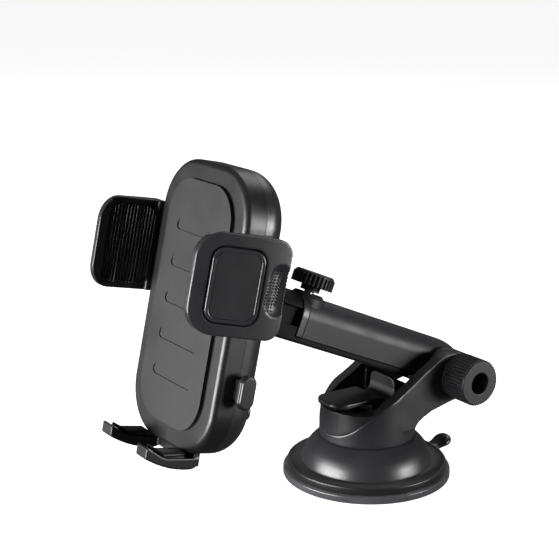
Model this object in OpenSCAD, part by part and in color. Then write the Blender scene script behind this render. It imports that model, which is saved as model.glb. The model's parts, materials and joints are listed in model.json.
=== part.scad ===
// Dashboard mount for a hand-held device.
// A suction base carries a two-ear yoke, a telescopic arm pivots in the yoke,
// and a ball joint at the arm's front end carries a spring-loaded side-clamp cradle.
// Frame: origin at the centre of the suction face, +Z up, +X on the clamp knob's side,
// and the held device faces -Y. Everything is in millimetres.

/* [Suction base] */
// radius of the gel pad that touches the dashboard
pad_r = 35.1; // [33:0.1:42]
// thickness of the gel pad
pad_t = 3; // [2.5:0.1:3.4]
// radius of the rubber cup above the gel pad
cup_r = 33.4; // [31:0.1:33.8]
// height of the rubber cup's upper face
cup_top = 6.2; // [5.6:0.1:6.6]
// how far the pull tab reaches from the centre
tab_reach = 43; // [40:0.5:50]
// turn of the pull tab away from straight back
tab_turn = 5; // [-30:1:30]
// radius of the dome cover at its lower edge
dome_r = 27.3; // [26.5:0.1:29]

/* [Yoke] */
// radius of the yoke's neck
neck_r = 20; // [19.8:0.1:21]
// half distance between the ears' inner faces
ear_in = 9.7; // [9.6:0.1:10.5]
// half distance between the ears' outer faces
ear_out = 19.8; // [18.5:0.1:20]
// radius of the ears' round end
ear_r = 9.6; // [9:0.1:10.5]
// arm pivot behind the centre of the base
pivot_y = 32.5; // [31:0.5:34]
// arm pivot above the dashboard
pivot_z = 42; // [41.5:0.5:45]

/* [Suction lever] */
// half width of the finger tongue
tongue_half = 8.7; // [7.5:0.1:8.9]
// how far the tongue reaches forward of the lever pin
tongue_reach = 22; // [20:0.5:23]
// height of the upright heel plate's top edge
heel_top = 41.6; // [38:0.1:42]

/* [Clamp knob] */
// radius over the knob's knurl
knob_r = 9.7; // [9.4:0.1:12]
// length of the knob
knob_len = 12.1; // [10:0.1:16]
// radius of the round recess in the knob's end face
knob_hole_r = 4.6; // [3.6:0.1:5]

/* [Telescopic arm] */
// how far the arm leans below the horizontal towards the rear
arm_angle = 23.5; // [20:0.5:30]
// height of the arm's centre line above the pivot
arm_lift = 1.8; // [1.5:0.1:2.2]
// half width of the outer tube, also the radius of its round top
tube_half = 8.8; // [8.6:0.1:9]
// distance from the pivot to the outer tube's front end
tube_len = 79.8; // [76:0.1:90]
// distance from the pivot to the centre of the ball
ball_reach = 100.7; // [99:0.1:115]
// distance from the pivot to the thumb screw
screw_at = 73.8; // [68:0.1:74.5]
// radius of the thumb screw's head
screw_head_r = 8.6; // [6.5:0.05:9]

/* [Ball joint] */
// radius of the steel ball
ball_r = 8.5; // [8.4:0.05:8.6]
// how far the cradle leans back from the vertical
cradle_lean = 12.2; // [8:0.1:16]

/* [Cradle] */
// half width of the cradle body
body_half = 29.7; // [29:0.1:30.5]
// lower end of the body below the middle of the device
body_bottom = -75.6; // [-75.7:0.1:-74.5]
// upper end of the body above the middle of the device
body_top = 31.9; // [30:0.1:36]
// plan radius of the body's corners
body_corner = 20; // [16:0.5:22]
// half width of the held device
device_half = 35.75; // [35:0.05:37]
// height of the side jaws
jaw_h = 36; // [34:0.5:40]
// width of each foot hook
hook_w = 7.6; // [6:0.1:7.6]

/* [Parts] */
// which sub-part to draw

/* [Hidden] */
$fn = 96;
// small play between touching faces, running fits and free gaps
touch = 0.02;
run = 0.05;
free = 0.3;
big = 200;

// suction base
dome_bottom = cup_top;
dome_top = 17.5;
dome_wall = 2;
floor_z = 20.5;
barrel_top = 31.2;
barrel_r = neck_r - 2.6;
face_r = neck_r - 0.4;
cavity_half = 9.2;
rod_r = 2.5;
pin_z = 27.5;
pin_r = 1.5;
flange_r = 9.5;
base_screw_x = 13;
base_screw_y = 7;
neck_back_z = 22.6;

// yoke and knob
bolt_r = 3;
ear_lip = 0.8;
ear_wall_in = ear_out - 5;
web_top = 35.9;
knob_x = ear_out + ear_lip + free;
knob_end = knob_x + knob_len;
knob_ribs = 44;
insert_r = 5.6;

// arm
tube_low = arm_lift - 6.9;
tube_mid = arm_lift + 0.7;
tube_top = tube_mid + tube_half;
rail_low = arm_lift - 9.5;
core_half = 6.3;
collar_len = 3.4;
collar_lip = 0.35;
hub_r = tube_top;
hub_low = -8.5;
screw_ribs = 30;
screw_gap_z = tube_top + 3.9;

// ball joint
liner_t = 0.8;
liner_a_r = ball_r + run;
liner_b_r = liner_a_r + liner_t + run;
seat_r = liner_b_r + liner_t + run;
zone_back = 4;
zone_front = 4.5;
stud_r = 3.6;
nut_r = 13.5;
nut_back = 6;
thread_r = seat_r + 1.35;

// cradle, measured from the middle of the held device's front glass
ball_v = -18.9;
ball_w = -36;
device_t = 7.85;
front_w = -9.3;
seam_w = -18;
rear_w = -28.8;
wall = 2;
edge_r = 9;
gear_v = -6.2;
gear_teeth = 12;
gear_r = 6;
rack_lo = -21.5;
rack_hi = -18.3;
rack_root = gear_r + 1.15;
rack_h = 7.25;
rack_reach = 20;
pad_face = device_half;
jaw_front = 13.8;
jaw_back = -20;
button_v = -45.8;
button_w = -18.5;
pawl_x = 10;
pawl_v = -31;
plate_hi = -12.8;
plate_lo = -15.2;
plate_half = 17.3;
hook_out = 17.5;
shelf_v = -76;

// ---- shared shapes and frames ----

// a cylinder along X from x0 to x1
module rod_x(r, x0, x1) {
    translate([x0, 0, 0])
        rotate([0, 90, 0])
            cylinder(r = r, h = x1 - x0);
}

// a flat ring along X from x0 to x1
module ring_x(r_out, r_in, x0, x1) {
    difference() {
        rod_x(r_out, x0, x1);
        rod_x(r_in, x0 - 1, x1 + 1);
    }
}

// a box given by its two corners
module span(lo, hi) {
    translate(lo)
        cube([hi[0] - lo[0], hi[1] - lo[1], hi[2] - lo[2]]);
}

// a flat rectangle with round corners, centred
module soft_rect(w, h, r) {
    square([w - 2 * r, h], center = true);
    square([w, h - 2 * r], center = true);
    for (sx = [-1, 1], sy = [-1, 1])
        translate([sx * (w / 2 - r), sy * (h / 2 - r)])
            circle(r = r);
}

// a round outline with straight-sided ribs
module ribbed_disc(r, depth, ribs) {
    step = 360 / ribs;
    polygon([for (i = [0 : ribs - 1], k = [[0, 0], [0.3, 0], [0.5, 1], [0.8, 1]])
        let (a = (i + k[0]) * step, q = r - depth * k[1])
        [q * cos(a), q * sin(a)]]);
}

// origin on the arm pivot, Y along the arm towards the rear
module arm_at() {
    translate([0, pivot_y, pivot_z])
        rotate([-arm_angle, 0, 0])
            children();
}

// origin on the ball centre, Z out of the held device's glass
module ball_at() {
    arm_at()
        translate([0, -ball_reach, arm_lift])
            rotate([90 - cradle_lean + arm_angle, 0, 0])
                children();
}

// origin in the middle of the held device's glass, Y up the device
module cradle_at() {
    ball_at()
        translate([0, -ball_v, -ball_w])
            children();
}

// half of a plate's section with a rounded upper edge
module edge_profile(half, edge, depth) {
    square([half, depth - edge]);
    square([half - edge, depth]);
    translate([half - edge, depth - edge])
        circle(r = edge);
}

// a rounded plate standing on Z = 0 with a round upper edge, y0 to y1
module pillow(half, y0, y1, corner, edge, depth) {
    for (x = [corner - half, half - corner], y = [y0 + corner, y1 - corner])
        translate([x, y, 0])
            rotate_extrude()
                intersection() {
                    edge_profile(corner, edge, depth);
                    square([corner + 1, depth + 1]);
                }
    for (s = [0, 1])
        translate([0, y0 + corner, 0])
            mirror([s, 0, 0])
                rotate([90, 0, 180])
                    linear_extrude(height = y1 - y0 - 2 * corner)
                        intersection() {
                            mirror([1, 0, 0])
                                edge_profile(half, edge, depth);
                            translate([-half - 1, 0])
                                square([half + 1, depth + 1]);
                        }
    for (s = [0, 1])
        translate([corner - half, s == 0 ? y1 - corner : y0 + corner, 0])
            mirror([0, s, 0])
                rotate([90, 0, 90])
                    linear_extrude(height = 2 * (half - corner))
                        intersection() {
                            edge_profile(corner, edge, depth);
                            square([corner + 1, depth + 1]);
                        }
}

// the arm's arch section from z0 up, drawn across X
module arch(half, mid, z0) {
    translate([0, mid])
        circle(r = half);
    translate([-half, z0])
        square([2 * half, mid - z0]);
}

// an arch section swept along the arm from y0 to y1
module arch_bar(half, mid, z0, y0, y1) {
    translate([0, y1, 0])
        rotate([90, 0, 0])
            linear_extrude(height = y1 - y0)
                intersection() {
                    arch(half, mid, z0);
                    translate([-half, z0])
                        square([2 * half, big]);
                }
}

// ---- suction base ----

module gel_pad() {
    color([0.42, 0.43, 0.45])
        rotate_extrude()
            polygon([[0, 0], [pad_r - 0.5, 0], [pad_r, 0.5], [pad_r, pad_t - 0.4],
                [pad_r - 0.4, pad_t], [0, pad_t]]);
}

module suction_cup() {
    color([0.05, 0.05, 0.055]) {
        difference() {
            rotate_extrude()
                polygon([[0, pad_t], [cup_r, pad_t], [cup_r, cup_top - 0.5],
                    [cup_r - 0.5, cup_top], [22, cup_top], [9.5, 12.6], [0, 12.6]]);
            translate([0, 0, pad_t - 1])
                cylinder(r = flange_r + 1, h = 10.3 - pad_t + 1);
            cylinder(r = rod_r + 2 * run, h = big);
        }
        rotate([0, 0, -tab_turn])
            pull_tab();
    }
}

// the finger tab: a flat root and a round tip that bends upwards
module pull_tab() {
    root = cup_r - 1.5;
    bend = cup_r + 1.5;
    span([-4.2, root, pad_t + 0.6], [4.2, bend + 0.3, pad_t + 2.6]);
    translate([0, bend, pad_t + 0.6])
        rotate([22, 0, 0]) {
            tip = tab_reach - bend - 4;
            translate([-3.4, 0, 0])
                cube([6.8, tip, 2]);
            translate([0, tip, 0])
                cylinder(r = 4.6, h = 2.2);
        }
}

module dome_cover() {
    color([0.10, 0.10, 0.11])
        difference() {
            rotate_extrude()
                polygon([[dome_r, dome_bottom], [dome_r - 0.5, 8.2], [dome_r - 1.3, 10.4],
                    [dome_r - 2.5, 12.7], [dome_r - 4.2, 14.8], [dome_r - 6.4, 17],
                    [neck_r - 0.2, dome_top], [0, dome_top], [0, 15.5], [17.5, 15.5],
                    [dome_r - 5.6, 12.7], [dome_r - 3.8, 10.2], [dome_r - 2.6, 8],
                    [dome_r - dome_wall - 0.2, dome_bottom]]);
            cylinder(r = rod_r + run, h = big);
            for (sx = [-1, 1], sy = [-1, 1])
                translate([sx * base_screw_x, sy * base_screw_y, 10])
                    cylinder(r = 1.25 + run, h = 10);
        }
}

// the yoke's side outline: the front cut, the ears' upper edge and the round end
module yoke_side() {
    difference() {
        union() {
            polygon([[-21, dome_top], [-21, 20.6], [-20, 20.9], [-19.2, 21.4], [-18, 22.5],
                [-16.4, 24.3], [-14.3, 26.7], [-11.9, 29.1], [-9.2, 31.6], [-6.2, 33.9],
                [-2.8, 36.1], [0.7, 37.9], [3.4, 39.3], [7.5, 41.7], [10.6, 43.7],
                [14.2, 46], [23, 50.9], [26.5, 52], [pivot_y, pivot_z + ear_r],
                [pivot_y + 2, pivot_z], [pivot_y - 0.5, pivot_z - ear_r - 0.6],
                [26, 30.6], [18.9, 29], [14.5, 27.2], [11.5, 25.4], [10, 23.5],
                [10, dome_top]]);
            translate([pivot_y, pivot_z])
                circle(r = ear_r);
            translate([-21, dome_top])
                square([42, 2.1]);
        }
        translate([pivot_y, pivot_z])
            circle(r = bolt_r + run);
    }
}

// the yoke's side outline swept across X
module yoke_slab() {
    rotate([90, 0, 90])
        translate([0, 0, -25])
            linear_extrude(height = 50)
                yoke_side();
}

// the hollow between the ears, left full around the arm pivot and in the rear web
module ear_hollow() {
    difference() {
        union() {
            span([-ear_wall_in, -big, barrel_top], [ear_wall_in, big, big]);
            span([-ear_wall_in, 19.6, floor_z], [ear_wall_in, big, big]);
        }
        span([-ear_out, 17.7, 0], [ear_out, 19.6, web_top]);
        for (s = [0, 1])
            mirror([s, 0, 0]) {
                translate([0, pivot_y, pivot_z])
                    rod_x(ear_r, ear_in, ear_wall_in + 1);
                span([ear_wall_in - 1, 10, barrel_top - 1], [ear_wall_in + 1, 11, 40]);
            }
    }
}

module lever_barrel() {
    color([0.10, 0.10, 0.11])
        difference() {
            union() {
                translate([0, 0, dome_top])
                    cylinder(r = barrel_r, h = barrel_top - dome_top);
                difference() {
                    translate([0, 0, dome_top])
                        cylinder(r = face_r, h = barrel_top - dome_top);
                    translate([0, 0, -touch])
                        yoke_slab();
                    span([-big, 0, 0], [big, big, big]);
                    span([-big, -21, 0], [big, 0, dome_top + 2.1]);
                }
            }
            span([-cavity_half, -13, floor_z], [cavity_half, 14, big]);
            span([-cavity_half, 0, 24.6], [cavity_half, 25, big]);
            cylinder(r = rod_r + run, h = big);
            for (sx = [-1, 1], sy = [-1, 1])
                translate([sx * base_screw_x, sy * base_screw_y, 10])
                    cylinder(r = 1.25, h = 15);
        }
}

module yoke_housing() {
    color([0.11, 0.11, 0.12]) {
        difference() {
            union() {
                intersection() {
                    yoke_slab();
                    union() {
                        cylinder(r = neck_r, h = big);
                        span([-ear_out, 0, neck_back_z], [ear_out, 60, big]);
                    }
                }
                difference() {
                    translate([0, 0, dome_top])
                        cylinder(r = neck_r, h = neck_back_z + 1 - dome_top);
                    span([-big, -big, 0], [big, 0, big]);
                }
            }
            translate([0, 0, -1])
                cylinder(r = barrel_r + touch, h = barrel_top + touch + 1);
            ear_hollow();
            translate([0, pivot_y, pivot_z])
                rod_x(6.6, -big, 1.6 - ear_out);
        }
        translate([0, pivot_y, pivot_z])
            ring_x(ear_r - 0.8, bolt_r + run, ear_out, ear_out + ear_lip);
    }
}

module base_screws() {
    color([0.55, 0.55, 0.57])
        for (sx = [-1, 1], sy = [-1, 1])
            translate([sx * base_screw_x, sy * base_screw_y, 0]) {
                translate([0, 0, 13.9])
                    cylinder(r = 2.3, h = 15.5 - 13.9);
                translate([0, 0, 15.4])
                    cylinder(r = 1.25 - touch, h = 9);
            }
}

module suction_stem() {
    color([0.14, 0.14, 0.15])
        difference() {
            union() {
                translate([0, 0, 8.4])
                    cylinder(r = flange_r, h = 1.8);
                translate([0, 0, 9])
                    cylinder(r = rod_r, h = 15);
                span([-2.9, -3.2, 23.4], [2.9, 3.2, pin_z]);
                translate([0, 0, pin_z])
                    rod_x(3.2, -2.9, 2.9);
            }
            translate([0, 0, pin_z])
                rod_x(pin_r + touch, -5, 5);
        }
}

module lever_pin() {
    color([0.6, 0.6, 0.62])
        translate([0, 0, pin_z])
            rod_x(pin_r, -8.2, 8.2);
}

// the lever's side outline: tongue, web and upright heel
module lever_side() {
    polygon([[-tongue_reach, 33.5], [-tongue_reach, 34.9], [-tongue_reach + 0.5, 35.4],
        [0.4, 35.3], [2, 34.2], [3.8, 33], [5.4, 32.9], [6.6, 33.7], [7.3, 35.2],
        [7.7, 37.2], [7.8, heel_top], [9.4, heel_top], [9.7, 36], [9.2, 32.6],
        [3, pin_z - 1], [-3, pin_z - 1], [-4.4, 33.2]]);
}

// the lever's blade, rounded at the tongue's tip and the heel's top corners
module lever_blade() {
    intersection() {
        rotate([90, 0, 90])
            translate([0, 0, -tongue_half])
                linear_extrude(height = 2 * tongue_half)
                    lever_side();
        union() {
            translate([0, 5 - tongue_reach / 2, 0])
                linear_extrude(height = big)
                    soft_rect(2 * tongue_half, tongue_reach + 10, 6);
            span([-8.3, 0, 0], [8.3, 20, big]);
        }
        union() {
            span([-big, -big, 0], [big, 5.5, big]);
            rotate([90, 0, 0])
                translate([0, heel_top - 30, -20])
                    linear_extrude(height = 40)
                        soft_rect(16.6, 60, 3.6);
        }
    }
}

module suction_lever() {
    color([0.12, 0.12, 0.13])
        difference() {
            union() {
                lever_blade();
                translate([0, 0, pin_z])
                    rod_x(3.8, -8.3, 8.3);
                translate([0, 0, pin_z - 5])
                    rod_x(1.2, -8.3, 8.3);
                span([-8.3, -1.2, pin_z - 5], [8.3, 1.2, pin_z]);
            }
            translate([0, 0, pin_z])
                rod_x(pin_r + run, -big, big);
            span([-3.3, -5, 0], [3.3, 5, 31.2]);
        }
}

// ---- arm pivot hardware ----

module pivot_bolt() {
    color([0.55, 0.55, 0.57])
        translate([0, pivot_y, pivot_z]) {
            rod_x(6.4, -ear_out - 0.6, 1.6 - ear_out);
            rod_x(bolt_r, -ear_out + 1, knob_end - 6.5);
        }
}

module pivot_washers() {
    color([0.7, 0.7, 0.72])
        translate([0, pivot_y, pivot_z])
            for (x = [-ear_in, ear_in - 0.7])
                ring_x(7.5, bolt_r + touch, x + touch, x + 0.7 - touch);
}

module clamp_knob() {
    color([0.04, 0.04, 0.045])
        translate([0, pivot_y, pivot_z])
            difference() {
                union() {
                    translate([knob_x + 0.6, 0, 0])
                        rotate([0, 90, 0])
                            linear_extrude(height = knob_len - 1.4)
                                ribbed_disc(knob_r, 0.45, knob_ribs);
                    rod_x(knob_r - 0.7, knob_x, knob_x + 1);
                    translate([knob_end - 0.9, 0, 0])
                        rotate([0, 90, 0])
                            cylinder(r1 = knob_r - 0.2, r2 = knob_r - 0.7, h = 0.9);
                }
                rod_x(insert_r + touch, knob_x - 1, knob_x + 4.6);
                rod_x(bolt_r + 0.5, knob_x, knob_end);
                rod_x(knob_hole_r, knob_end - 7.5, knob_end + 1);
            }
}

module knob_nut() {
    color([0.72, 0.58, 0.3])
        translate([0, pivot_y, pivot_z])
            ring_x(insert_r, bolt_r + run, knob_x, knob_x + 4.5);
}

// ---- telescopic arm ----

module outer_arm() {
    color([0.12, 0.12, 0.13])
        arm_at()
            difference() {
                union() {
                    arch_bar(tube_half, tube_mid, tube_low, collar_len - tube_len, 0);
                    arch_bar(tube_half, tube_mid, hub_low, -13, 0);
                    intersection() {
                        arch_bar(tube_half, tube_mid, hub_low, -1, 20);
                        rod_x(hub_r, -tube_half, tube_half);
                    }
                    translate([0, -screw_at, 0])
                        rotate_extrude()
                            polygon([[0, tube_mid], [7.2, tube_mid], [7.2, tube_top - 0.7],
                                [5.6, tube_top + 1.1], [0, tube_top + 1.1]]);
                }
                arch_bar(core_half + free, tube_mid, -big / 2, -tube_len - 1, -20);
                arch_bar(tube_half + collar_lip + touch, tube_mid, tube_low, -tube_len - 2,
                    collar_len - tube_len);
                rod_x(bolt_r + run, -big, big);
                translate([0, -screw_at, 0])
                    cylinder(r = 3.6 + touch, h = big);
            }
}

module arm_collar() {
    color([0.20, 0.20, 0.21])
        arm_at()
            difference() {
                arch_bar(tube_half + collar_lip, tube_mid, tube_low, -tube_len,
                    collar_len - tube_len - 0.35);
                arch_bar(core_half + free, tube_mid, -big / 2, -tube_len - 1, 0);
                translate([0, -screw_at, 0])
                    cylinder(r = 3.7, h = big);
            }
}

module thread_insert() {
    color([0.72, 0.58, 0.3])
        arm_at()
            translate([0, -screw_at, tube_top - 1.6])
                difference() {
                    cylinder(r = 3.6, h = 2.6);
                    translate([0, 0, -1])
                        cylinder(r = 2 + run, h = 5);
                }
}

module brake_shoe() {
    color([0.08, 0.08, 0.085])
        arm_at()
            translate([0, -screw_at, 0])
                difference() {
                    cylinder(r = 3.3, h = tube_top - 1.7);
                    cylinder(r = 4, h = tube_top - 2.35);
                }
}

module thumb_head() {
    color([0.04, 0.04, 0.045])
        arm_at()
            translate([0, -screw_at, screw_gap_z])
                difference() {
                    union() {
                        linear_extrude(height = 4.4)
                            ribbed_disc(screw_head_r, 0.7, screw_ribs);
                        translate([0, 0, 4.4])
                            rotate_extrude()
                                polygon([[0, 0], [screw_head_r - 0.5, 0], [screw_head_r - 0.7, 0.7],
                                    [screw_head_r - 1.4, 1.2], [0, 1.3]]);
                        translate([0, 0, -2.1])
                            cylinder(r = 3.95, h = 2.2);
                    }
                    translate([0, 0, -5])
                        cylinder(r = 2 + touch, h = 8);
                }
}

module thumb_shaft() {
    color([0.6, 0.6, 0.62])
        arm_at()
            translate([0, -screw_at, tube_top - 1.6])
                cylinder(r = 2, h = screw_gap_z - tube_top + 4.5);
}

module inner_arm() {
    color([0.08, 0.08, 0.085])
        arm_at()
            difference() {
                union() {
                    arch_bar(core_half, tube_mid, tube_low - free, -tube_len, -22);
                    span([-tube_half, -tube_len - 1, rail_low], [tube_half, -16, tube_low - free]);
                    difference() {
                        arch_bar(tube_half, tube_mid, rail_low, -ball_reach + 11.2, -tube_len - 0.4);
                        for (x = [-tube_half - 1, tube_half - 3])
                            span([x, -big, arm_lift - 3.3], [x + 4, 0, arm_lift + 4.2]);
                    }
                }
                translate([0, -ball_reach - 1, arm_lift])
                    rotate([-90, 0, 0])
                        cylinder(r = stud_r + touch, h = 20);
                for (x = [-tube_half - 1, tube_half - 0.8])
                    span([x, -big, rail_low - 1], [x + 1.8, 0, rail_low + 0.7]);
                span([-3.6, -tube_len + 8, rail_low - 1], [3.6, -40, rail_low + 5]);
                span([-2.8, -70, tube_mid + core_half - 0.8], [2.8, -26, big]);
            }
}

module ball_stud() {
    color([0.6, 0.6, 0.62])
        arm_at()
            translate([0, -ball_reach, arm_lift]) {
                sphere(r = ball_r);
                rotate([-90, 0, 0])
                    cylinder(r = stud_r, h = 19);
            }
}

// a zone of a spherical shell around the ball
module liner(r) {
    rotate_extrude()
        intersection() {
            difference() {
                circle(r = r + liner_t);
                circle(r = r);
            }
            translate([0, -zone_back])
                square([big, zone_back + zone_front]);
        }
}

module pitch_liner() {
    color([0.85, 0.84, 0.8])
        ball_at()
            liner(liner_a_r);
}

module yaw_liner() {
    color([0.75, 0.74, 0.7])
        ball_at()
            liner(liner_b_r);
}

module lock_nut() {
    color([0.05, 0.05, 0.055])
        ball_at()
            difference() {
                union() {
                    translate([0, 0, 1.5 - nut_back])
                        linear_extrude(height = nut_back + 4.3)
                            ribbed_disc(nut_r, 0.6, 36);
                    translate([0, 0, -nut_back])
                        cylinder(r1 = nut_r - 2, r2 = nut_r - 0.7, h = 1.6);
                }
                sphere(r = seat_r);
                cylinder(r = thread_r + run, h = 20);
            }
}

// ---- cradle body ----

// the cradle's screw positions
module at_screws() {
    for (p = [[-19, 18.5], [19, 18.5], [-23, -56], [23, -56]])
        translate([p[0], p[1], 0])
            children();
}

// a cylinder along the cradle's W axis
module post(r, lo, hi) {
    translate([0, 0, lo])
        cylinder(r = r, h = hi - lo);
}

// side openings for the racks and the release buttons
module side_slots() {
    for (s = [-1, 1])
        span([s > 0 ? 20 : -40, gear_v + s * (rack_root + rack_h / 2) - rack_h / 2 - free - 2.2,
            rack_lo - free], [s > 0 ? 40 : -20, gear_v + s * (rack_root + rack_h / 2)
            + rack_h / 2 + free + 2.2, rack_hi + free]);
    for (x = [20, -40])
        span([x, button_v - 4.4, button_w - 2.4], [x + 20, button_v + 4.4, button_w + 2.4]);
}

module rear_shell() {
    color([0.14, 0.14, 0.15])
        cradle_at() {
            difference() {
                union() {
                    difference() {
                        translate([0, 0, seam_w])
                            mirror([0, 0, 1])
                                pillow(body_half, body_bottom, body_top, body_corner, edge_r,
                                    seam_w - rear_w);
                        translate([0, 0, seam_w + 1])
                            mirror([0, 0, 1])
                                pillow(body_half - wall, body_bottom + wall, body_top - wall,
                                    body_corner - wall, edge_r - wall, seam_w - rear_w - wall + 1);
                    }
                    translate([0, ball_v, 0]) {
                        post(14, rear_w + 0.5, rack_lo - 0.8);
                        post(thread_r, ball_w + 1.5, rear_w + 1);
                    }
                    at_screws()
                        post(3.4, rear_w + 1, seam_w);
                    translate([pawl_x, pawl_v, 0])
                        post(3, rear_w + 1, rack_lo - 1.2);
                }
                translate([0, ball_v, ball_w])
                    sphere(r = seat_r);
                side_slots();
                at_screws() {
                    post(1.3, rear_w - 1, seam_w + 1);
                    post(2.7, rear_w - 1, rear_w + 2.2);
                }
                translate([pawl_x, pawl_v, 0])
                    post(pin_r + touch, rear_w + 2, 0);
                translate([0, gear_v, 0])
                    post(2 + touch, rear_w + 3, 0);
            }
        }
}

module front_shell() {
    color([0.07, 0.07, 0.075])
        cradle_at()
            difference() {
                union() {
                    difference() {
                        translate([0, 0, seam_w])
                            pillow(body_half, body_bottom, body_top, body_corner, 2.2,
                                front_w - seam_w);
                        translate([0, 0, seam_w - 1])
                            pillow(body_half - wall, body_bottom + wall, body_top - wall,
                                body_corner - wall, 1, front_w - seam_w - wall + 1);
                    }
                    at_screws()
                        post(3.4, seam_w, front_w - 1);
                    translate([0, gear_v, 0])
                        post(3.6, -15, front_w - 1);
                    translate([pawl_x, pawl_v, 0])
                        post(3, -16, front_w - 1);
                    for (x = [-plate_half - 1.9, plate_half + 0.4])
                        span([x, -72, plate_lo - 1], [x + 1.5, -44, front_w - 1]);
                }
                side_slots();
                span([-plate_half - free, -90, plate_lo - free],
                    [plate_half + free, -60, plate_hi + free]);
                at_screws()
                    post(1.1, seam_w - 1, front_w - wall);
                translate([pawl_x, pawl_v, 0])
                    post(pin_r + touch, seam_w, -13);
                translate([0, gear_v, 0])
                    post(2 + touch, seam_w, -12);
            }
}

module front_pad() {
    color([0.03, 0.03, 0.035])
        cradle_at()
            difference() {
                translate([0, -21.5, front_w])
                    linear_extrude(height = -device_t - front_w)
                        soft_rect(44, 92, 14);
                for (i = [-2 : 2])
                    translate([0, -21.5 + i * 14, -device_t - 0.5])
                        linear_extrude(height = 2)
                            soft_rect(28, 4, 1.9);
            }
}

module shell_screws() {
    color([0.25, 0.25, 0.26])
        cradle_at()
            at_screws() {
                difference() {
                    post(2.5, rear_w + 0.7, rear_w + 2.2);
                    post(0.9, rear_w, rear_w + 1.6);
                }
                post(1.1 - touch, rear_w + 2.1, -12.5);
            }
}

// ---- jaw drive ----

// a gear outline with straight-flanked teeth
module gear_2d() {
    step = 360 / gear_teeth;
    polygon([for (i = [0 : gear_teeth - 1],
            k = [[-8.5, -1.15], [-5.2, 0], [-2.9, 0.75], [2.9, 0.75], [5.2, 0], [8.5, -1.15]])
        let (a = i * step + k[0], q = gear_r + k[1])
        [q * cos(a), q * sin(a)]]);
}

// the toothed bar of one jaw, teeth towards -Y, drawn from the gear's centre
module rack_bar() {
    module_len = 3.14159265 * 2 * gear_r / gear_teeth;
    translate([0, 0, rack_lo])
        linear_extrude(height = rack_hi - rack_lo) {
            translate([-rack_reach, rack_root])
                square([rack_reach + 40, rack_h]);
            for (i = [-5 : 3])
                translate([(i + 0.5) * module_len, 0])
                    polygon([[-0.95, rack_root + 0.1], [-0.5, gear_r], [-0.28, gear_r - 0.7],
                        [0.28, gear_r - 0.7], [0.5, gear_r], [0.95, rack_root + 0.1]]);
        }
}

module pinion() {
    color([0.8, 0.79, 0.75])
        cradle_at()
            translate([0, gear_v, rack_lo + 0.1])
                linear_extrude(height = rack_hi - rack_lo - 0.2)
                    difference() {
                        rotate([0, 0, 90])
                            gear_2d();
                        circle(r = 2 + run);
                    }
}

module pinion_pin() {
    color([0.6, 0.6, 0.62])
        cradle_at()
            translate([0, gear_v, 0])
                post(2, rear_w + 3.1, -12.1);
}

// a flat spiral strip around the pinion's pin
module pinion_spring() {
    turns = 3;
    inner = 4.2;
    pitch = 1.25;
    strip = 0.45;
    steps = 28 * turns;
    color([0.6, 0.6, 0.62])
        cradle_at()
            translate([0, gear_v, -17.4])
                linear_extrude(height = 2)
                    polygon(concat(
                        [for (i = [0 : steps]) let (t = i / steps * turns, r = inner + pitch * t)
                            [r * cos(360 * t), r * sin(360 * t)]],
                        [for (i = [steps : -1 : 0]) let (t = i / steps * turns,
                            r = inner + pitch * t + strip)
                            [r * cos(360 * t), r * sin(360 * t)]]));
}

// ---- side jaws, drawn for the right-hand side ----

// outline seen along X: larger corners at the front, smaller at the back
module jaw_outline() {
    depth = jaw_front - jaw_back;
    h = jaw_h / 2;
    front_c = 9.5;
    back_c = 5.5;
    translate([jaw_back, -h + back_c])
        square([depth - front_c, jaw_h - 2 * back_c]);
    translate([jaw_back + back_c, -h])
        square([depth - back_c - front_c, jaw_h]);
    translate([jaw_back + depth / 2, -h + front_c])
        square([depth / 2, jaw_h - 2 * front_c]);
    for (s = [-1, 1]) {
        translate([jaw_front - front_c, s * (h - front_c)])
            circle(r = front_c);
        translate([jaw_back + back_c, s * (h - back_c)])
            circle(r = back_c);
    }
}

// sweep a (W, V) outline along X
module along_x(x0, x1) {
    translate([x1, 0, 0])
        rotate([0, -90, 0])
            linear_extrude(height = x1 - x0)
                children();
}

// frame on the middle of the jaw's outer panel, Z outwards
module panel_at() {
    translate([device_half + 6.4, 0, -0.75])
        rotate([0, 90 - 15.2, 0])
            children();
}

module jaw(arm_side) {
    h = jaw_h / 2;
    d = device_half;
    crown = 118;
    difference() {
        union() {
            intersection() {
                along_x(d - 5, d + 20)
                    jaw_outline();
                rotate([90, 0, 0])
                    translate([0, 0, -h - 1])
                        linear_extrude(height = jaw_h + 2)
                            intersection() {
                                polygon([[d - 1.45, jaw_front], [d + 1.3, jaw_front + 1],
                                    [d + 14, jaw_front + 1], [d + 14, rack_lo], [d + 0.6, rack_lo],
                                    [d + 0.6, -12.2], [d + 1.5, -11.6], [d + 1.5, 9],
                                    [d - 0.35, 9.2]]);
                                translate([d + 6.55 - crown * cos(15.2), -1.3 - crown * sin(15.2)])
                                    circle(r = crown, $fn = 240);
                            }
            }
            mirror([0, arm_side > 0 ? 0 : 1, 0])
                intersection() {
                    rack_bar();
                    span([-rack_reach, 0, -30], [d + 3, 30, 0]);
                }
        }
        panel_at()
            translate([0, 0, -1.9])
                linear_extrude(height = 10)
                    soft_rect(20.2, 27.2, 5);
        translate([d + 15.2, 0, -16]) {
            rotate([90, 0, 0])
                cylinder(r = 7, h = 10.4, center = true);
            for (s = [-1, 1])
                translate([0, s * 5.2, 0])
                    sphere(r = 7);
        }
    }
}

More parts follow.
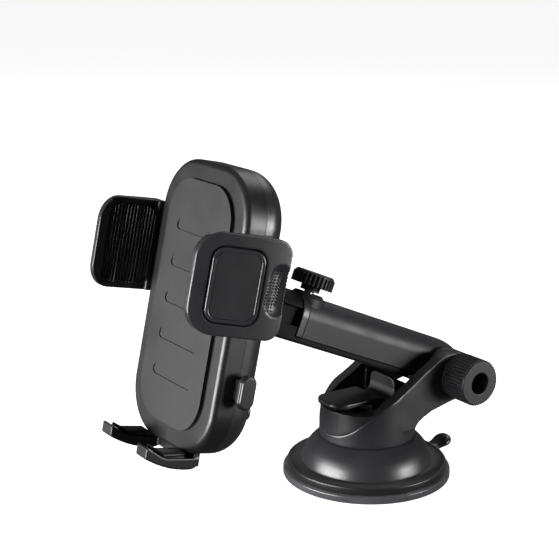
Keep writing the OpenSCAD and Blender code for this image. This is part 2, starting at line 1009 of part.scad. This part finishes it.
module jaw_pad() {
    d = device_half;
    intersection() {
        along_x(d - 1, d + 2)
            translate([-1.3, 0])
                soft_rect(20.4, jaw_h - 5.6, 5);
        union() {
            span([d + 0.6, -30, -30], [d + 1.5 - touch, 30, 30]);
            for (i = [-7 : 7])
                span([d, -30, -1.3 + i * 1.4 - 0.38], [d + 0.7, 30, -1.3 + i * 1.4 + 0.38]);
        }
    }
}

module jaw_trim() {
    panel_at()
        difference() {
            translate([0, 0, -1.9 + touch])
                linear_extrude(height = 2.3)
                    soft_rect(19.2, 26.2, 4.5);
            translate([0, 0, -3])
                linear_extrude(height = 10)
                    soft_rect(16.4, 23.4, 3.1);
        }
}

module jaw_insert() {
    panel_at()
        translate([0, 0, -1.9 + touch])
            linear_extrude(height = 1.9)
                soft_rect(16.4 - 2 * touch, 23.4 - 2 * touch, 3.1 - touch);
}

// place a jaw part on the right, or mirrored on the left
module jaw_side(side) {
    cradle_at()
        mirror([side > 0 ? 0 : 1, 0, 0])
            translate([0, gear_v, 0])
                children();
}

module right_jaw() {
    color([0.13, 0.13, 0.14])
        jaw_side(1)
            jaw(1);
}

module right_pad() {
    color([0.03, 0.03, 0.035])
        jaw_side(1)
            jaw_pad();
}

module right_trim() {
    color([0.45, 0.45, 0.47])
        jaw_side(1)
            jaw_trim();
}

module right_insert() {
    color([0.15, 0.15, 0.16])
        jaw_side(1)
            jaw_insert();
}

module left_jaw() {
    color([0.13, 0.13, 0.14])
        jaw_side(-1)
            jaw(-1);
}

module left_pad() {
    color([0.03, 0.03, 0.035])
        jaw_side(-1)
            jaw_pad();
}

module left_trim() {
    color([0.45, 0.45, 0.47])
        jaw_side(-1)
            jaw_trim();
}

module left_insert() {
    color([0.15, 0.15, 0.16])
        jaw_side(-1)
            jaw_insert();
}

// ---- release buttons and latch ----

// place a button part on the right, or mirrored on the left
module button_side(side) {
    cradle_at()
        mirror([side > 0 ? 0 : 1, 0, 0])
            translate([0, button_v, button_w])
                children();
}

module button() {
    rotate([90, 0, 90])
        translate([0, 0, 33.4]) {
            linear_extrude(height = 1.9)
                soft_rect(12.9, 6.8, 3.35);
            translate([0, 0, 1.9])
                linear_extrude(height = 0.8)
                    soft_rect(11.9, 5.8, 2.85);
        }
    span([26, -4, -2], [33.5, 4, 2]);
    span([25, -5.4, -3], [26.6, 5.4, 3]);
    rod_x(1.3, 20.5, 25.1);
}

// the turns of the coil around the button's inner peg, drawn closed
module button_coil() {
    for (i = [0 : 4])
        translate([20.9 + i * 0.9, 0, 0])
            rotate([0, 90, 0])
                rotate_extrude()
                    translate([1.8, 0])
                        circle(r = 0.32);
}

module right_button() {
    color([0.09, 0.09, 0.095])
        button_side(1)
            button();
}

module left_button() {
    color([0.09, 0.09, 0.095])
        button_side(-1)
            button();
}

module right_button_spring() {
    color([0.6, 0.6, 0.62])
        button_side(1)
            button_coil();
}

module left_button_spring() {
    color([0.6, 0.6, 0.62])
        button_side(-1)
            button_coil();
}

module latch_pawl() {
    color([0.8, 0.79, 0.75])
        cradle_at()
            translate([pawl_x, pawl_v, rack_lo + 0.3])
                difference() {
                    union() {
                        cylinder(r = 3, h = 2.6);
                        linear_extrude(height = 2.6)
                            polygon([[-2, 1.6], [3, 9.6], [6.4, 9.6], [6.2, 6.5], [2.4, 0],
                                [6.6, -13.2], [6, -15], [4, -15], [-1, -2.4]]);
                    }
                    translate([0, 0, -1])
                        cylinder(r = pin_r + run, h = 5);
                }
}

module pawl_pin() {
    color([0.6, 0.6, 0.62])
        cradle_at()
            translate([pawl_x, pawl_v, 0])
                post(pin_r, rear_w + 2.2, -13.2);
}

// ---- foot ----

module hook_side() {
    polygon([[8, -76.2], [5.6, -77.2], [3, -78.2], [0, -79.1], [-3, -79.8], [-6, -80.2],
        [-9, -80.4], [-12.2, -80.3], [-13.8, -79.6], [-14.8, -78.2], [plate_lo, -76.6],
        [plate_lo, shelf_v], [-1.2, shelf_v], [1.2, -75.3], [6.6, -72.4], [7.2, -72], [8, -72.2]]);
}

module foot() {
    color([0.06, 0.06, 0.065])
        cradle_at() {
            difference() {
                span([-plate_half, shelf_v, plate_lo], [plate_half, -45, plate_hi]);
                for (x = [-11, 11])
                    translate([x, -56, 0])
                        post(2.2, -20, 0);
            }
            for (x = [-hook_out, hook_out - hook_w])
                translate([x, 0, 0])
                    rotate([0, -90, 0])
                        mirror([0, 0, 1])
                            linear_extrude(height = hook_w)
                                hook_side();
            span([-hook_out, shelf_v - 3.2, plate_lo], [hook_out, shelf_v, plate_hi]);
        }
}

module foot_pads() {
    color([0.02, 0.02, 0.025])
        cradle_at()
            for (x = [-hook_out + 0.8, hook_out - hook_w + 0.8])
                translate([x, 0, 0])
                    rotate([0, -90, 0])
                        mirror([0, 0, 1])
                            linear_extrude(height = hook_w - 1.6)
                                polygon([[-8.6, shelf_v + touch], [-1.3, shelf_v + touch],
                                    [1.15, -75.3 + touch], [4.6, -73.4], [4.1, -72.3],
                                    [0.7, -73.9], [-8.6, -73.9]]);
}

// ---- selection ----

gel_pad();
suction_cup();
dome_cover();
lever_barrel();
yoke_housing();
base_screws();
pivot_bolt();
pivot_washers();
suction_stem();
lever_pin();
suction_lever();
clamp_knob();
knob_nut();
outer_arm();
arm_collar();
thread_insert();
brake_shoe();
thumb_head();
thumb_shaft();
inner_arm();
ball_stud();
pitch_liner();
yaw_liner();
lock_nut();
rear_shell();
front_shell();
front_pad();
shell_screws();
pinion();
pinion_pin();
pinion_spring();
right_jaw();
right_pad();
right_trim();
right_insert();
left_jaw();
left_pad();
left_trim();
left_insert();
right_button();
left_button();
right_button_spring();
left_button_spring();
latch_pawl();
pawl_pin();
foot();
foot_pads();
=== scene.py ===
"""Visual model of the dashboard mount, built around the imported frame.

Metres, row frame: origin at the centre of the suction face, +Z up, the held device faces -Y.
"""
import json
import math

import bmesh
import bpy
from mathutils import Matrix, Vector
from mathutils.bvhtree import BVHTree


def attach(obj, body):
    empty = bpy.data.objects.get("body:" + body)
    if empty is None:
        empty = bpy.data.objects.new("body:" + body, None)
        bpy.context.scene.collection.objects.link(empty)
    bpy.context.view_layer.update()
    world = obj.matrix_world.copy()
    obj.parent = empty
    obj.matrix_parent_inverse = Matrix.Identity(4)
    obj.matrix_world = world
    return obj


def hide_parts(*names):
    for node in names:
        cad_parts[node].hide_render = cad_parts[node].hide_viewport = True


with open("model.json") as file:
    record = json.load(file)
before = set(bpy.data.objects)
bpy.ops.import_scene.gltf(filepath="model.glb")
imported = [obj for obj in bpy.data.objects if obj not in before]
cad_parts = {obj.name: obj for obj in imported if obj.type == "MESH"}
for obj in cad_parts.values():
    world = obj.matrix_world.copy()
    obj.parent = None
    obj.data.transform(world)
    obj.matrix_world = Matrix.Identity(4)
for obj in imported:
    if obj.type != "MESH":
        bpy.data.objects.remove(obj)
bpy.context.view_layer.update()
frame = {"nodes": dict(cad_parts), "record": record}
NODES = frame["nodes"]
MM = 0.001
WELD_GAP = 0.004 * MM


# ---- node materials -------------------------------------------------------------------------

class Graph:
    """A short way to add and wire shader nodes."""

    def __init__(self, name):
        self.material = bpy.data.materials.new(name)
        self.material.use_nodes = True
        self.tree = self.material.node_tree
        self.shader = self.tree.nodes["Principled BSDF"]
        coords = self.tree.nodes.new("ShaderNodeTexCoord")
        self.place = coords.outputs["Object"]

    def add(self, kind, inputs=None, **settings):
        node = self.tree.nodes.new(kind)
        for key, value in settings.items():
            setattr(node, key, value)
        for key, value in (inputs or {}).items():
            if isinstance(value, bpy.types.NodeSocket):
                self.tree.links.new(value, node.inputs[key])
            else:
                node.inputs[key].default_value = value
        return node

    def noise(self, scale, detail=4.0, roughness=0.55, stretch=None):
        place = self.place
        if stretch:
            place = self.add("ShaderNodeMapping", {"Vector": place, "Scale": stretch}).outputs[0]
        return self.add("ShaderNodeTexNoise", {"Vector": place, "Scale": scale, "Detail": detail,
                                               "Roughness": roughness}).outputs["Fac"]

    def remap(self, value, lo, hi, out_lo, out_hi):
        return self.add("ShaderNodeMapRange", {"Value": value, "From Min": lo, "From Max": hi,
                                               "To Min": out_lo, "To Max": out_hi}).outputs[0]

    def math(self, operation, a, b=0.0):
        return self.add("ShaderNodeMath", {0: a, 1: b}, operation=operation).outputs[0]

    def mix_color(self, factor, a, b):
        node = self.add("ShaderNodeMix", data_type="RGBA")
        for socket, value in ((node.inputs[0], factor), (node.inputs[6], a), (node.inputs[7], b)):
            if isinstance(value, bpy.types.NodeSocket):
                self.tree.links.new(value, socket)
            else:
                socket.default_value = value
        return node.outputs[2]

    def edge_mask(self, radius):
        """1 on worn edges, 0 on open faces: how far the rounded normal leaves the true one."""
        bevel = self.add("ShaderNodeBevel", {"Radius": radius}, samples=4)
        true_normal = self.add("ShaderNodeNewGeometry").outputs["Normal"]
        dot = self.add("ShaderNodeVectorMath", {0: bevel.outputs[0], 1: true_normal},
                       operation="DOT_PRODUCT").outputs["Value"]
        return self.remap(dot, 0.98, 0.80, 0.0, 1.0)

    def rounded(self, radius_mm):
        """The surface's normal with its corners rounded by radius_mm."""
        return self.add("ShaderNodeBevel", {"Radius": radius_mm * MM}, samples=6).outputs[0]

    def bump(self, height, strength, distance, below=None):
        inputs = {"Height": height, "Strength": strength, "Distance": distance}
        if below is not None:
            inputs["Normal"] = below
        return self.add("ShaderNodeBump", inputs).outputs[0]

    def finish(self, color=None, roughness=None, normal=None):
        for key, value in (("Base Color", color), ("Roughness", roughness), ("Normal", normal)):
            if isinstance(value, bpy.types.NodeSocket):
                self.tree.links.new(value, self.shader.inputs[key])
            elif value is not None:
                self.shader.inputs[key].default_value = value
        return self.material


TINT = (1.0, 1.0, 1.10)  # all the greys lean a little to blue
GRAIN_SCALE = 2600.0
CORNER_MM = 0.35  # how far the shading rounds a moulding's corners
WORN_MM = 0.5  # how wide the polished edge is


def rgba(value):
    return tuple(value * t for t in TINT) + (1.0,)


def moulded(name, base, rough, grain=1.0, wear=0.35, specular=0.5):
    """Injection-moulded plastic: spark-eroded grain, flow mottling and polished, paler edges."""
    g = Graph(name)
    mottle = g.noise(42.0, 5.0, 0.6)
    streak = g.noise(150.0, 3.0, 0.5, stretch=(1.0, 1.0, 0.12))
    grain_h = g.noise(GRAIN_SCALE, 3.0, 0.65)
    patches = g.remap(g.noise(260.0), 0.35, 0.65, 0.25, 1.0)
    worn = g.math("MULTIPLY", g.edge_mask(WORN_MM * MM), patches)
    color = g.mix_color(g.remap(mottle, 0.3, 0.7, 0.0, 1.0), rgba(base * 0.86), rgba(base * 1.14))
    color = g.mix_color(g.remap(streak, 0.45, 0.75, 0.0, 0.25), color, rgba(base * 1.3))
    color = g.mix_color(g.math("MULTIPLY", worn, wear), color, rgba(base * 2.2 + 0.02))
    shine = g.remap(g.noise(90.0, 4.0), 0.3, 0.7, rough - 0.045, rough + 0.045)
    shine = g.math("SUBTRACT", shine, g.math("MULTIPLY", worn, 0.10))
    shine = g.math("ADD", shine, g.remap(grain_h, 0.3, 0.7, -0.03, 0.03))
    normal = g.bump(grain_h, 0.22 * grain, 0.05 * MM, g.rounded(CORNER_MM))
    g.shader.inputs["Specular IOR Level"].default_value = specular
    return g.finish(color, shine, normal)


def rubber(name, base, rough, grain=1.0, dust=0.3):
    """Soft rubber: fine bloom, dusty patches and a slightly uneven skin."""
    g = Graph(name)
    skin = g.noise(1500.0, 4.0, 0.7)
    patch = g.noise(60.0, 5.0, 0.6)
    color = g.mix_color(g.remap(patch, 0.35, 0.7, 0.0, 1.0), rgba(base * 0.8), rgba(base * 1.2))
    color = g.mix_color(g.remap(skin, 0.55, 0.8, 0.0, dust), color, rgba(base * 1.8 + 0.01))
    shine = g.remap(patch, 0.3, 0.7, rough - 0.06, rough + 0.06)
    normal = g.bump(skin, 0.2 * grain, 0.05 * MM)
    normal = g.bump(g.noise(220.0, 2.0), 0.10, 0.15 * MM, normal)
    g.shader.inputs["Sheen Weight"].default_value = 0.08
    return g.finish(color, shine, normal)


def turned_metal(name, color, rough):
    """Turned metal: fine rings, tool marks and a little staining."""
    g = Graph(name)
    lines = g.noise(900.0, 2.0, 0.5, stretch=(0.08, 1.0, 1.0))
    stain = g.noise(120.0, 5.0, 0.6)
    dark = tuple(c * 0.72 for c in color) + (1.0,)
    tone = g.mix_color(g.remap(stain, 0.35, 0.7, 0.0, 1.0), dark, tuple(color) + (1.0,))
    shine = g.remap(lines, 0.3, 0.7, rough - 0.08, rough + 0.10)
    g.shader.inputs["Metallic"].default_value = 1.0
    return g.finish(tone, shine, g.bump(lines, 0.25, 0.04 * MM))


MATERIALS = {
    "gel": rubber("gel_skin", 0.060, 0.28, 0.6, 0.2),
    "cup_rubber": rubber("cup_rubber_skin", 0.006, 0.36, 0.8),
    "housing_plastic": moulded("housing_grain", 0.021, 0.36, specular=0.48),
    "dark_plastic": moulded("dark_grain", 0.010, 0.40, wear=0.3, specular=0.42),
    "knob_plastic": moulded("knob_grain", 0.022, 0.45, wear=0.35, specular=0.38),
    "trim_plastic": moulded("trim_satin", 0.030, 0.18, grain=0.2, wear=0.8),
    "grip_rubber": rubber("grip_rubber_skin", 0.004, 0.50, 0.8),
    "inner_plastic": moulded("natural_plastic", 0.55, 0.36, grain=0.5, wear=0.0),
    "steel": turned_metal("turned_steel", (0.56, 0.56, 0.58), 0.30),
    "brass": turned_metal("turned_brass", (0.66, 0.46, 0.20), 0.30),
}
# single nodes with their own finish of the same plastic: the slide is matt, with a darker base
# that is painted shade for the pocket it sits in; the tube is satin
NODE_FINISH_AND_PAINTED_SHADE = {
    "inner_arm": moulded("slide_grain_painted_shade", 0.004, 0.60, grain=0.6, wear=0.1, specular=0.14),
    "outer_arm": moulded("tube_grain", 0.021, 0.46, specular=0.34),
}
SLOT_OF = {row["node"]: row["material_slot"] for row in frame["record"]["subparts"]}
BODY_OF = {n: b for b, ns in frame["record"]["behaviour"]["bodies"].items() for n in ns}


# ---- carried-over CAD nodes: material, soft edges and smooth shading ------------------------

BEVEL_SEGMENTS = 2
BEVEL_ANGLE = math.radians(28.0)  # only edges sharper than this are softened
NORMAL_WEIGHT = 80


def paint(obj, material):
    obj.data.materials.clear()
    obj.data.materials.append(material)


def smooth(obj, width):
    """Welds the mesh, rounds its edges by width (metres) and evens the shading."""
    mesh = obj.data
    attribute = mesh.attributes.get("custom_normal")
    if attribute:
        mesh.attributes.remove(attribute)
    mesh.polygons.foreach_set("use_smooth", [True] * len(mesh.polygons))
    weld = obj.modifiers.new("weld", "WELD")
    weld.merge_threshold = WELD_GAP
    if width > 0:
        bevel = obj.modifiers.new("soft_edges", "BEVEL")
        bevel.width = width
        bevel.segments = BEVEL_SEGMENTS
        bevel.limit_method = "ANGLE"
        bevel.angle_limit = BEVEL_ANGLE
        bevel.use_clamp_overlap = True
        bevel.miter_outer = "MITER_ARC"
    normals = obj.modifiers.new("even_normals", "WEIGHTED_NORMAL")
    normals.keep_sharp = True
    normals.weight = NORMAL_WEIGHT


# the softened edge's width on each node; 0 on the nodes that are not listed
EDGE_MM = {
    "lever_barrel": 0.3, "outer_arm": 0.3, "arm_collar": 0.2,
    "inner_arm": 0.3, "clamp_knob": 0.12, "thumb_head": 0.2,
    "lock_nut": 0.25, "rear_shell": 0.25, "front_shell": 0.25, "front_pad": 0.3,
    "right_trim": 0.3, "left_trim": 0.3,
    "right_insert": 0.12, "left_insert": 0.12, "pivot_bolt": 0.2,
    "knob_nut": 0.1, "shell_screws": 0.1, "base_screws": 0.1,
}
for name, obj in NODES.items():
    paint(obj, NODE_FINISH_AND_PAINTED_SHADE.get(name, MATERIALS[SLOT_OF[name]]))
    smooth(obj, EDGE_MM.get(name, 0.0) * MM)


# ---- pieces made here that stand for CAD nodes ----------------------------------------------

def new_piece(name, mesh, node=None, body=None, slot=None):
    """A mesh as a piece of the object. With node, it stands for that CAD node."""
    obj = bpy.data.objects.new(name, mesh)
    bpy.context.scene.collection.objects.link(obj)
    body = body or BODY_OF[node]
    slot = slot or SLOT_OF[node]
    paint(obj, MATERIALS[slot])
    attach(obj, body)
    if node:
        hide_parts(node)
    return obj


def settled(source, modifiers):
    """A mesh with modifiers applied: (type, settings) in order."""
    work = bpy.data.objects.new("work", source)
    bpy.context.scene.collection.objects.link(work)
    for kind, settings in modifiers:
        modifier = work.modifiers.new(kind.lower(), kind)
        for key, value in settings.items():
            setattr(modifier, key, value)
    bpy.context.view_layer.update()
    depsgraph = bpy.context.evaluated_depsgraph_get()
    mesh = bpy.data.meshes.new_from_object(work.evaluated_get(depsgraph))
    bpy.data.objects.remove(work)
    return mesh


SMOOTH_FACTOR = 0.5


def moulding(node, name, voxel_mm, rounds, pits=None):
    """A CAD node's shape with every corner truly rounded, as a moulded part has."""
    source = NODES[node].data.copy()
    mesh = settled(source, [
        ("WELD", {"merge_threshold": WELD_GAP}),
        ("REMESH", {"mode": "VOXEL", "voxel_size": voxel_mm * MM, "use_smooth_shade": True}),
        ("SMOOTH", {"factor": SMOOTH_FACTOR, "iterations": rounds}),
    ])
    if pits is not None:
        mesh = settled(mesh, [("BOOLEAN", {"operation": "DIFFERENCE", "object": pits,
                                           "solver": "MANIFOLD"})])
    mesh.polygons.foreach_set("use_smooth", [True] * len(mesh.polygons))
    return new_piece(name, mesh, node)


def along(points, steps):
    """Catmull-Rom points through a list of 2-D points."""
    made = []
    for i in range(len(points) - 1):
        p0 = Vector(points[max(i - 1, 0)])
        p1, p2 = Vector(points[i]), Vector(points[i + 1])
        p3 = Vector(points[min(i + 2, len(points) - 1)])
        for k in range(steps):
            t = k / steps
            made.append(0.5 * (2 * p1 + (p2 - p0) * t + (2 * p0 - 5 * p1 + 4 * p2 - p3) * t * t
                               + (3 * p1 - p0 - 3 * p2 + p3) * t ** 3))
    made.append(Vector(points[-1]))
    return made


LATHE_SIDES = 180
LATHE_CREASE = math.radians(35)


def lathe(name, profile):
    """A closed ring mesh from a closed (radius, height) profile in millimetres."""
    mesh = bpy.data.meshes.new(name)
    rows = len(profile)
    points, faces = [], []
    for i in range(LATHE_SIDES):
        a = 2 * math.pi * i / LATHE_SIDES
        here, there = i * rows, (i + 1) % LATHE_SIDES * rows
        for k, (r, z) in enumerate(profile):
            after = (k + 1) % rows
            points.append((r * math.cos(a) * MM, r * math.sin(a) * MM, z * MM))
            faces.append((here + k, there + k, there + after, here + after))
    mesh.from_pydata(points, [], faces)
    work = bmesh.new()
    work.from_mesh(mesh)
    bmesh.ops.recalc_face_normals(work, faces=work.faces)
    work.to_mesh(mesh)
    work.free()
    mesh.polygons.foreach_set("use_smooth", [True] * len(mesh.polygons))
    mesh.set_sharp_from_angle(angle=LATHE_CREASE)
    return mesh


# (radius, height) profiles in millimetres
DOME_OUT = [(27.3, 6.2), (27.15, 7.0), (26.85, 8.2), (26.1, 10.4), (24.9, 12.7), (23.2, 14.8),
            (21.6, 16.3), (20.6, 17.1), (19.9, 17.4)]
DOME_TOP = [(19.6, 17.5), (2.6, 17.5)]
DOME_IN = [(25.1, 6.2), (24.7, 8.0), (23.5, 10.2), (21.7, 12.7), (17.5, 15.5), (2.6, 15.5)]
DOME = [tuple(p) for p in along(DOME_OUT, 5)] + DOME_TOP + DOME_IN[::-1]
CUP_TOP = [(2.65, 6.2), (2.65, 12.6), (9.5, 12.6), (22.0, 6.2), (26.9, 6.2), (27.6, 6.05),
           (28.0, 5.75), (28.6, 5.7), (31.4, 5.7), (32.0, 5.8), (32.3, 6.1)]
CUP_BROW = [(32.9 + 0.5 * math.sin(a), 5.7 + 0.5 * math.cos(a))
            for a in [math.radians(d) for d in range(0, 91, 15)]]
CUP_UNDER = [(33.4, 3.35), (33.25, 3.05), (32.9, 3.0), (10.5, 3.0), (10.5, 6.2)]
CUP = CUP_TOP + CUP_BROW + CUP_UNDER
PAD_CENTRE_R = 0.02  # a pinhole, so that the ring stays closed
PAD_FOOT = [(34.6 + 0.5 * math.sin(a), 0.5 - 0.5 * math.cos(a))
            for a in [math.radians(d) for d in range(0, 91, 15)]]
PAD_BROW = [(34.7 + 0.4 * math.cos(a), 2.6 + 0.4 * math.sin(a))
            for a in [math.radians(d) for d in range(15, 91, 15)]]
PAD = [(PAD_CENTRE_R, 0.0)] + PAD_FOOT + [(35.1, 2.4)] + PAD_BROW + [(PAD_CENTRE_R, 3.0)]
new_piece("dome_skin", lathe("dome_skin", DOME), "dome_cover")
new_piece("suction_cup_skin", lathe("suction_cup_skin", CUP), "suction_cup")
new_piece("gel_pad_skin", lathe("gel_pad_skin", PAD), "gel_pad")


# the finger tab, in millimetres: where it leaves the cup, where it bends up, how far it reaches
TAB_ROOT, TAB_BEND, TAB_REACH = 31.6, 34.6, 43.0
TAB_HEIGHT = 4.6
TAB_LIFT = math.radians(22)
TAB_TURN = Matrix.Rotation(math.radians(-5), 3, "Z")
TAB_FLAT = TAB_BEND - TAB_ROOT
TAB_LENGTH = TAB_FLAT + (TAB_REACH - TAB_BEND) / math.cos(TAB_LIFT) - 0.4
TAB_TIP_R = 4.5
TAB_STATIONS, TAB_AROUND = 46, 28


def bell(x, middle, width):
    return math.exp(-((x - middle) / width) ** 2)


def tab_section(u):
    """The tab's half width and half thickness at u millimetres from its root."""
    to_end = TAB_LENGTH - u
    wide = 3.4 + 1.1 * bell(to_end, 4.2, 2.6) + 0.8 * bell(u, 0.0, 1.2)
    if to_end < TAB_TIP_R - 0.1:
        wide = min(wide, math.sqrt(max(TAB_TIP_R ** 2 - (TAB_TIP_R - to_end) ** 2, 0.0)))
    thick = 1.25 + 0.45 * bell(to_end, 2.6, 2.2)
    thick *= min(1.0, math.sqrt(max(to_end, 0.0) / 1.1) + 0.02)
    return max(wide, 0.05), thick


def tab_mesh(name):
    """The cup's finger tab: a flat strip that bends up and ends in a round, thumb-sized pad."""
    mesh = bpy.data.meshes.new(name)
    points = []
    for i in range(TAB_STATIONS + 1):
        u = i / TAB_STATIONS * TAB_LENGTH
        beyond = u - TAB_FLAT
        bent = min(max((beyond + 1.5) / 3.0, 0.0), 1.0)  # 0 before the bend, 1 past it
        rise = 0.0
        if beyond > -1.5:
            rise = 1.5 * bent * bent if beyond < 1.5 else beyond
        centre_y = TAB_ROOT + min(u, TAB_FLAT) + max(beyond, 0.0) * math.cos(TAB_LIFT)
        centre_z = TAB_HEIGHT + rise * math.sin(TAB_LIFT)
        slope = TAB_LIFT * bent
        wide, thick = tab_section(u)
        for k in range(TAB_AROUND):
            a = 2 * math.pi * k / TAB_AROUND
            c, n = math.cos(a), math.sin(a)
            x = wide * math.copysign(abs(c) ** 0.55, c)
            z = thick * math.copysign(abs(n) ** 0.75, n)
            y = centre_y - z * math.sin(slope)
            points.append(TAB_TURN @ Vector((x, y, centre_z + z * math.cos(slope))) * MM)
    faces = []
    for i in range(TAB_STATIONS):
        for k in range(TAB_AROUND):
            here, there = i * TAB_AROUND, (i + 1) * TAB_AROUND
            after = (k + 1) % TAB_AROUND
            faces.append((here + k, here + after, there + after, there + k))
    faces.append(tuple(range(TAB_AROUND))[::-1])
    faces.append(tuple(TAB_STATIONS * TAB_AROUND + k for k in range(TAB_AROUND)))
    mesh.from_pydata(points, [], faces)
    mesh.polygons.foreach_set("use_smooth", [True] * len(mesh.polygons))
    return mesh


new_piece("suction_cup_tab", tab_mesh("suction_cup_tab"), body=BODY_OF["suction_cup"],
          slot=SLOT_OF["suction_cup"])

# the held device's frame: GLASS in the middle of its glass, UP along it, OUT of the glass
LEAN = math.radians(12.2)
GLASS = Vector((0.0, -90.32, 109.89)) * MM
UP = Vector((0, math.sin(LEAN), math.cos(LEAN)))
OUT = Vector((0, -math.cos(LEAN), math.sin(LEAN)))
# the field of pits on a jaw, in millimetres: v along UP and w along OUT, both from GLASS
GRIP_V, GRIP_W = -6.4, -15.0
GRIP_HALF_V, GRIP_HALF_W = 8.0, 2.9
GRIP_ROWS, GRIP_COLUMNS = 14, 5
GRIP_STEP_V, GRIP_STEP_W = 1.08, 1.25
GRIP_LEAN = -0.10
PIT_R, PIT_LIFT = 0.30, 0.02
RAY_START = 0.08  # metres, outside either jaw


def grip_pits(side):
    """Small balls where the jaw's finger dimple has its field of pits, as one hidden cutter."""
    jaw = NODES[side + "_jaw"].data
    tree = BVHTree.FromPolygons([v.co for v in jaw.vertices], [p.vertices for p in jaw.polygons])
    sign = 1 if side == "right" else -1
    work = bmesh.new()
    for row in range(GRIP_ROWS):
        for column in range(GRIP_COLUMNS):
            v = (row - (GRIP_ROWS - 1) / 2) * GRIP_STEP_V
            w = (column - (GRIP_COLUMNS - 1) / 2) * GRIP_STEP_W
            if (v / GRIP_HALF_V) ** 4 + (w / GRIP_HALF_W) ** 2 > 1.0:
                continue
            w += GRIP_LEAN * v
            spot = GLASS + UP * (GRIP_V + v) * MM + OUT * (GRIP_W + w) * MM
            start = spot + Vector((sign * RAY_START, 0, 0))
            point, normal, _, _ = tree.ray_cast(start, Vector((-sign, 0, 0)))
            if point is None:
                continue
            place = Matrix.Translation(point + normal * PIT_LIFT * MM)
            bmesh.ops.create_icosphere(work, subdivisions=2, radius=PIT_R * MM, matrix=place)
    mesh = bpy.data.meshes.new(side + "_pits")
    work.to_mesh(mesh)
    work.free()
    cutter = bpy.data.objects.new(side + "_pits", mesh)
    bpy.context.scene.collection.objects.link(cutter)
    cutter.hide_render = True
    return cutter


for side in ("right", "left"):
    cutter = grip_pits(side)
    moulding(side + "_jaw", side + "_jaw_moulding", 0.28, 6, cutter)
    bpy.data.objects.remove(cutter)
    moulding(side + "_button", side + "_button_moulding", 0.2, 5)
moulding("yoke_housing", "yoke_moulding", 0.34, 3)
moulding("suction_lever", "lever_moulding", 0.26, 5)
moulding("foot", "foot_moulding", 0.28, 4)


# ---- stage, light and camera ----------------------------------------------------------------

scene = bpy.context.scene
scene.view_settings.view_transform = "Standard"
scene.view_settings.look = "None"

FLOOR = 60.0  # metres, so that its edge is never seen
CORNERS = ((-1, -1), (1, -1), (1, 1), (-1, 1))
ground = bpy.data.meshes.new("studio_floor")
ground.from_pydata([(x * FLOOR, y * FLOOR, 0) for x, y in CORNERS], [], [(0, 1, 2, 3)])
floor = bpy.data.objects.new("studio_floor", ground)
scene.collection.objects.link(floor)
pale = Graph("studio_paper")
paper = pale.mix_color(pale.noise(6.0, 3.0), (0.86, 0.86, 0.87, 1), (0.90, 0.90, 0.91, 1))
floor.data.materials.append(pale.finish(paper, 0.85))
pale.shader.inputs["Emission Color"].default_value = (1, 1, 1, 1)
pale.shader.inputs["Emission Strength"].default_value = 0.84
# the white floor throws no light on the dark plastic
floor.visible_diffuse = False
floor.visible_glossy = False

world = bpy.data.worlds.new("studio_world")
world.use_nodes = True
world.node_tree.nodes["Background"].inputs["Color"].default_value = (1, 1, 1, 1)
world.node_tree.nodes["Background"].inputs["Strength"].default_value = 0.05
scene.world = world


MIDDLE = Vector((0.0, -0.03, 0.07))


def area_light(name, place, size, power):
    """A rectangular softbox at place that faces the middle of the object."""
    data = bpy.data.lights.new(name, "AREA")
    data.shape = "RECTANGLE"
    data.size, data.size_y = size
    data.energy = power
    lamp = bpy.data.objects.new(name, data)
    lamp.location = place
    lamp.rotation_euler = (MIDDLE - Vector(place)).to_track_quat("-Z", "Y").to_euler()
    scene.collection.objects.link(lamp)


def sun_light(name, source, strength, spread):
    """A broad even light from the direction of source, spread degrees across."""
    data = bpy.data.lights.new(name, "SUN")
    data.energy = strength
    data.angle = math.radians(spread)
    lamp = bpy.data.objects.new(name, data)
    lamp.rotation_euler = Vector(source).to_track_quat("Z", "Y").to_euler()
    scene.collection.objects.link(lamp)


sun_light("overhead_dome", (-0.1, 0.1, 1.0), 0.18, 70)
area_light("left_softbox", (-0.16, -0.95, 0.06), (0.8, 0.36), 34.0)
area_light("right_softbox", (0.82, 0.58, 0.07), (0.5, 0.36), 15.0)
area_light("rear_softbox", (-0.35, 0.60, 0.90), (0.6, 0.6), 4.0)

lens = bpy.data.cameras.new("camera")
lens.lens = 86.73
lens.sensor_width = 36.0
camera = bpy.data.objects.new("camera", lens)
RIGHT, UPWARD, BACK = (0.5597, 0.8287, 0.0), (-0.2106, 0.1422, 0.9672), (0.8015, -0.5413, 0.2541)
turn = Matrix((RIGHT, UPWARD, BACK)).transposed().to_4x4()
camera.matrix_world = Matrix.Translation((0.4196, -0.3276, 0.2232)) @ turn
scene.collection.objects.link(camera)
scene.camera = camera
